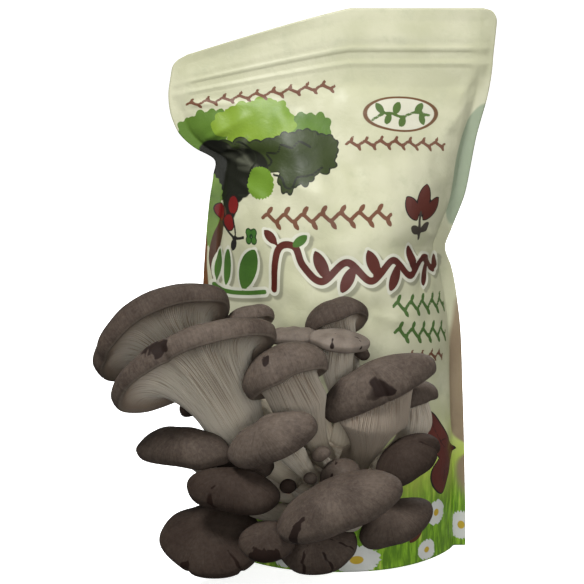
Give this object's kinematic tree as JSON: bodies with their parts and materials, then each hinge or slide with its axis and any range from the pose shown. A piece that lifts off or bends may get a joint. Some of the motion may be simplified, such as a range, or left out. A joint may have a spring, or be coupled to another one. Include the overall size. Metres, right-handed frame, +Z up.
{
  "type": "oyster mushroom grow kit",
  "caption": "Cluster of grey-brown oyster mushrooms growing out of a cut in the front of a stand-up zip pouch filled with straw substrate.",
  "frame": {"origin": "centre of the pouch's base, on the surface it stands on", "axes": "+Z up, -Y out of the pouch's front, where the cluster grows, +X to the right as seen from the front"},
  "size_m": [0.2105, 0.1948, 0.3],
  "materials": {
    "mushroom_flesh": "matte",
    "foot_flesh": "matte",
    "straw_substrate": "matte",
    "pouch_film": "satin"
  },
  "bodies": {
    "root": {"mushroom_upper_left_back": "mushroom_flesh", "mushroom_upper_left_front": "mushroom_flesh", "mushroom_bud_top_left": "mushroom_flesh", "mushroom_centre": "mushroom_flesh", "mushroom_centre_behind": "mushroom_flesh", "mushroom_top_back": "mushroom_flesh", "mushroom_top_front": "mushroom_flesh", "mushroom_bud_top_right": "mushroom_flesh", "mushroom_right": "mushroom_flesh", "mushroom_right_back": "mushroom_flesh", "mushroom_lower_right": "mushroom_flesh", "mushroom_bottom_right": "mushroom_flesh", "mushroom_front_right": "mushroom_flesh", "mushroom_bottom_centre": "mushroom_flesh", "mushroom_bottom_front": "mushroom_flesh", "mushroom_left": "mushroom_flesh", "mushroom_front_left": "mushroom_flesh", "mushroom_lower_left": "mushroom_flesh", "mushroom_bottom_left": "mushroom_flesh", "mushroom_inner_right": "mushroom_flesh", "mushroom_inner_top": "mushroom_flesh", "mushroom_bud_centre": "mushroom_flesh", "mushroom_bud_lower": "mushroom_flesh", "mushroom_inner_left": "mushroom_flesh", "mushroom_bud_left": "mushroom_flesh", "cluster_foot": "foot_flesh", "pouch_front_panel": "pouch_film", "pouch_back_panel": "pouch_film", "pouch_bottom_gusset": "pouch_film", "zip_track_front": "pouch_film", "zip_track_back": "pouch_film", "substrate_block": "straw_substrate"}
  },
  "joints": []
}
